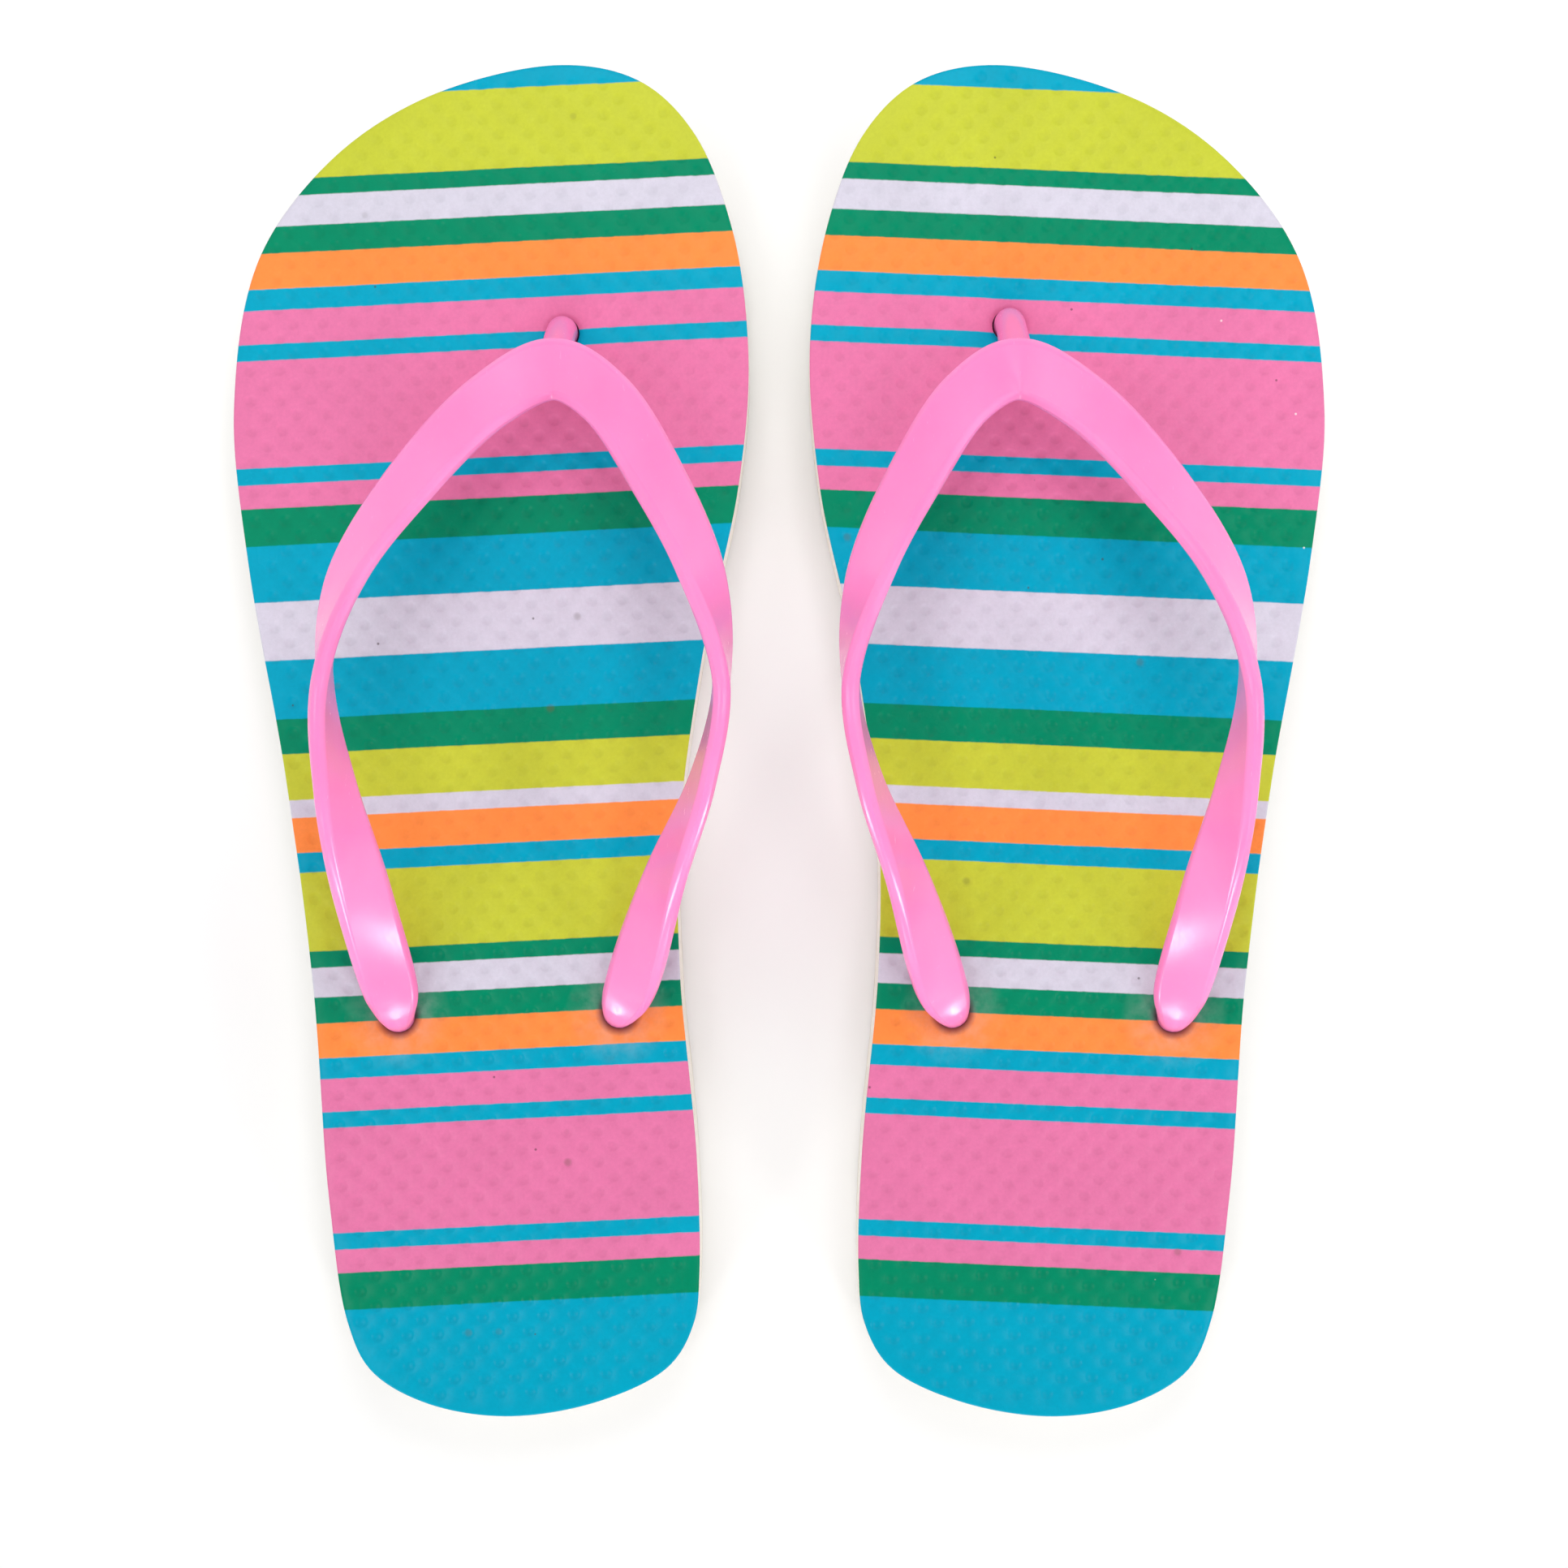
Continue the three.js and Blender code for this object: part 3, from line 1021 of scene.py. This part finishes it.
def footbed_print(shoe):
    """The stripe print on embossed foam, with faint mottling, specks, a little dirt and painted shade."""
    nodes = Nodes(f"{shoe.side}_footbed_print")
    place = nodes.place()
    parts = nodes.make("ShaderNodeSeparateXYZ", {"Vector": place})
    slope = shoe.stripe_slope * shoe.mirror
    start = shoe.stripe_start - slope * shoe.middle
    tilted = nodes.math("MULTIPLY", parts.outputs["X"], slope)
    behind = nodes.math("SUBTRACT", nodes.math("ADD", tilted, start * MM), parts.outputs["Y"])
    fuzz = nodes.step(nodes.noise(place, 900, 2), 0, 1, -PRINT_FUZZ * MM, PRINT_FUZZ * MM)
    wander = nodes.step(nodes.noise(place, 40, 1), 0, 1, -PRINT_WANDER * MM, PRINT_WANDER * MM)
    behind = nodes.math("ADD", behind, nodes.math("ADD", fuzz, wander))
    colour = AQUA
    for distance, ink in stripes():
        past = nodes.step(behind, (distance - PRINT_EDGE) * MM, (distance + PRINT_EDGE) * MM)
        colour = nodes.mix(past, colour, ink)
    grain = nodes.step(nodes.noise(place, 1500, 3, 0.7), *NOISE_RANGE, 0.95, 1.03)
    mottle = nodes.step(nodes.noise(place, 90, 4, 0.6), *NOISE_RANGE, 0.965, 1.025)
    # Painted shade: the print is darkened inside each dimple, the more the deeper it lies.
    painted_dimple_shade = nodes.step(nodes.number("dimple"), 0, 1, 1.0, 0.96)
    shade = nodes.math("MULTIPLY", nodes.math("MULTIPLY", grain, mottle), painted_dimple_shade)
    colour = nodes.mix(1.0, colour, nodes.grey(shade), "MULTIPLY")
    colour = soiled_and_shaded(nodes, place, colour, shoe)
    roughness = nodes.step(nodes.noise(place, 160, 3), *NOISE_RANGE, 0.19, 0.29)
    skin = nodes.bump(nodes.noise(place, 1400, 2), 0.008 * MM, 0.5)
    skin = nodes.bump(nodes.noise(place, 260, 3), 0.10 * MM, 0.3, skin)
    return nodes.finish(base_color=colour, roughness=roughness, normal=skin, specular_ior_level=0.09)


def white_foam():
    """Cut closed-cell foam: fine pores and faint knife lines."""
    nodes = Nodes("white_foam")
    place = nodes.place()
    pores = nodes.cells(place, 1700)
    tone = nodes.step(nodes.noise(place, 70, 4, 0.6), *NOISE_RANGE)
    pits = nodes.step(pores, 0.0, 0.45, 0.35, 0.0)
    colour = nodes.mix(pits, nodes.mix(tone, *FOAM_SHADES), FOAM_PIT)
    lines = nodes.noise(nodes.stretched(place, (1, 1, 0.04)), 900, 2)
    height = nodes.bump(lines, 0.06 * MM, 0.4)
    height = nodes.bump(pores, 0.12 * MM, 0.5, height)
    roughness = nodes.step(nodes.noise(place, 300, 2), *NOISE_RANGE, 0.78, 0.9)
    return nodes.finish(base_color=colour, roughness=roughness, normal=height, specular_ior_level=0.25)


def outsole_rubber():
    """Denser off-white rubber foam, matt, with fine grain and a little ground-in dust."""
    nodes = Nodes("outsole_rubber")
    place = nodes.place()
    dust = nodes.step(nodes.noise(place, 55, 5, 0.65), 0.45, 0.75)
    colour = nodes.mix(dust, RUBBER, RUBBER_DUST)
    specks = nodes.step(nodes.cells(place, 420), 0.03, 0.09, 0.5, 0.0)
    colour = nodes.mix(specks, colour, RUBBER_SPECK)
    grain = nodes.bump(nodes.noise(place, 1800, 3, 0.7), 0.08 * MM, 0.5)
    roughness = nodes.step(nodes.noise(place, 240, 3), *NOISE_RANGE, 0.66, 0.82)
    return nodes.finish(base_color=colour, roughness=roughness, normal=grain, specular_ior_level=0.35)


def strap_plastic():
    """Glossy soft pink vinyl, which light enters a little, with flow marks, fine scuffs and painted shade
    where it meets the footbed.
    """
    nodes = Nodes("strap_plastic")
    place = nodes.place()
    flow = nodes.step(nodes.noise(nodes.stretched(place, (1, 0.35, 1)), 60, 3), 0.35, 0.65)
    colour = nodes.mix(flow, *VINYL_SHADES)
    height = nodes.make("ShaderNodeSeparateXYZ", {"Vector": place}).outputs["Z"]
    # Painted shade: the strap is darkened low down, where it meets the footbed, but not on the discs under
    # the sole.
    low, high = ((FOOTBED_TOP + h) * MM for h in STRAP_FOOT_SHADE)
    above_discs = nodes.step(height, MIDSOLE_LOW * MM, FOOTBED_LOW * MM)
    foot_shade = nodes.math("MULTIPLY", nodes.step(height, low, high, STRAP_FOOT_SHADE_STRENGTH, 0.0), above_discs)
    colour = nodes.mix(foot_shade, colour, VINYL_FOOT_SHADE)
    scuffs = nodes.noise(nodes.stretched(place, (3.0, 0.5, 1.5)), 700, 4, 0.7)
    roughness = nodes.step(scuffs, 0.4, 0.75, 0.21, 0.29)
    skin = nodes.bump(nodes.noise(place, 90, 3), 0.15 * MM, 0.2)
    skin = nodes.bump(nodes.noise(place, 900, 2), 0.006 * MM, 0.3, skin)
    nodes.finish(base_color=colour, roughness=roughness, normal=skin, specular_ior_level=0.55)
    nodes.finish(subsurface_weight=0.3, subsurface_scale=0.3)
    return nodes.finish(subsurface_radius=(0.004, 0.0015, 0.0025))


def pale_floor():
    """A plain sheet that fades into the pale studio with distance."""
    nodes = Nodes("pale_floor")
    place = nodes.make("ShaderNodeTexCoord", {}).outputs["Object"]
    colour = nodes.mix(nodes.step(nodes.noise(place, 3, 2), *NOISE_RANGE), *FLOOR_SHADES)
    away = nodes.vectors("DISTANCE", place, (0, 0, 0)).outputs["Value"]
    fade = nodes.step(away, *FLOOR_FADE, 1.0, 0.0)
    return nodes.finish(base_color=colour, roughness=0.9, specular_ior_level=0.1, alpha=fade)


# ---- The pieces ----


def place_piece(piece, shoe, slot, *nodes):
    shoe.forefoot
    shoe.heel
    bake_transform(piece)
    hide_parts(*nodes)


def build_shoe(shoe, foam, rubber, plastic):
    """One shoe's four pieces, each with the CAD nodes it stands for."""
    outline = sole_outline(shoe)
    side = shoe.side
    top = footbed(shoe, outline).to_object(f"{side}_footbed", [footbed_print(shoe), foam])
    core = midsole(shoe, outline).to_object(f"{side}_midsole", [foam])
    tread = outsole(shoe, outline).to_object(f"{side}_outsole", [rubber])
    band = strap(shoe, plastic)
    place_piece(top, shoe, "footbed_print", f"{side}_footbed_front", f"{side}_footbed_rear")
    place_piece(core, shoe, "midsole_foam", f"{side}_midsole_front", f"{side}_midsole_rear")
    place_piece(tread, shoe, "outsole_rubber", f"{side}_outsole_front", f"{side}_outsole_rear")
    place_piece(band, shoe, "strap_pvc", f"{side}_strap")


# ---- Stage, light and camera ----

FLOOR_FADE = (0.35, 1.1)  # metres from the middle between which the floor fades out
FLOOR_HALF = 1.2
FLOOR_HEIGHT = -0.0002
CAMERA_HEIGHT = 0.45  # over the footbed
CAMERA_PLACE = (0.0009, -0.008)
SEEN_WIDTH = 0.2898  # of what the camera sees at the footbed's height
WORLD_HEIGHTS = (0.10, 0.92)  # between these the studio dims, where 1 is straight overhead
WORLD_STRENGTHS = (1.0, 0.30)

# Name, way towards it, distance, angle across in degrees, what it adds to a white level surface, and whether
# it shows in reflections.
LIGHTS = [
    ("key", (-0.44, 0.30, 1.0), 2.0, 58, 0.165, True),
    ("toe_light", (0.03, 0.66, 1.0), 0.5, 30, 0.23, False),
    ("high_left", (-0.38, -0.25, 1.0), 2.5, 16, 0.06, True),
    ("high_right", (0.38, -0.25, 1.0), 2.5, 16, 0.06, True),
    ("right_light", (0.34, 0.16, 1.0), 2.5, 16, 0.04, True),
    ("heel_light", (0.0, -1.0, 0.29), 8.0, 9.5, 0.05, True),
    ("heel_left", (-0.55, -0.8, 0.27), 8.0, 9.5, 0.05, True),
    ("heel_right", (0.55, -0.8, 0.27), 8.0, 9.5, 0.05, True),
    ("right_fill", (0.9, 0.2, 0.55), 0.6, 50, 0.07, True),
]


def add_floor():
    mesh = bpy.data.meshes.new("floor")
    corners = [(-1, -1), (1, -1), (1, 1), (-1, 1)]
    points = [(u * FLOOR_HALF, v * FLOOR_HALF, FLOOR_HEIGHT) for u, v in corners]
    mesh.from_pydata(points, [], [(0, 1, 2, 3)])
    mesh.materials.append(pale_floor())
    floor = bpy.data.objects.new("floor", mesh)
    bpy.context.scene.collection.objects.link(floor)


def add_light(name, towards, distance, spread, share, in_reflections):
    """A round soft light that faces the middle of the pair."""
    towards = Vector(towards).normalized()
    light = bpy.data.lights.new(name, "AREA")
    light.shape = "DISK"
    light.size = 2 * distance * math.tan(math.radians(spread / 2))
    light.energy = share * (math.pi * distance) ** 2 / towards.z
    lamp = bpy.data.objects.new(name, light)
    lamp.location = towards * distance
    lamp.rotation_euler = towards.to_track_quat("Z", "Y").to_euler()
    lamp.visible_glossy = in_reflections
    bpy.context.scene.collection.objects.link(lamp)


def add_world():
    """A studio that is pale round the sides and dimmer overhead."""
    world = bpy.data.worlds.new("studio")
    world.use_nodes = True
    tree = world.node_tree
    where = tree.nodes.new("ShaderNodeTexCoord")
    parts = tree.nodes.new("ShaderNodeSeparateXYZ")
    height = tree.nodes.new("ShaderNodeMapRange")
    for end, where_it_is, strength in zip(("Min", "Max"), WORLD_HEIGHTS, WORLD_STRENGTHS):
        height.inputs[f"From {end}"].default_value = where_it_is
        height.inputs[f"To {end}"].default_value = strength
    tree.links.new(where.outputs["Generated"], parts.inputs[0])
    tree.links.new(parts.outputs["Z"], height.inputs["Value"])
    tree.links.new(height.outputs[0], tree.nodes["Background"].inputs["Strength"])
    tree.nodes["Background"].inputs["Color"].default_value = (1, 1, 1, 1)
    bpy.context.scene.world = world


def add_camera():
    """Straight above the pair, with the toes towards the top of the picture."""
    camera = bpy.data.cameras.new("camera")
    camera.lens = camera.sensor_width * CAMERA_HEIGHT / SEEN_WIDTH
    eye = bpy.data.objects.new("camera", camera)
    eye.location = (*CAMERA_PLACE, FOOTBED_TOP * MM + CAMERA_HEIGHT)
    bpy.context.scene.collection.objects.link(eye)
    bpy.context.scene.camera = eye


add_camera()
add_floor()
add_world()
for light_row in LIGHTS:
    add_light(*light_row)
bpy.context.scene.view_settings.view_transform = "Standard"

foam_material = white_foam()
rubber_material = outsole_rubber()
plastic_material = strap_plastic()
for pair_shoe in SHOES:
    build_shoe(pair_shoe, foam_material, rubber_material, plastic_material)
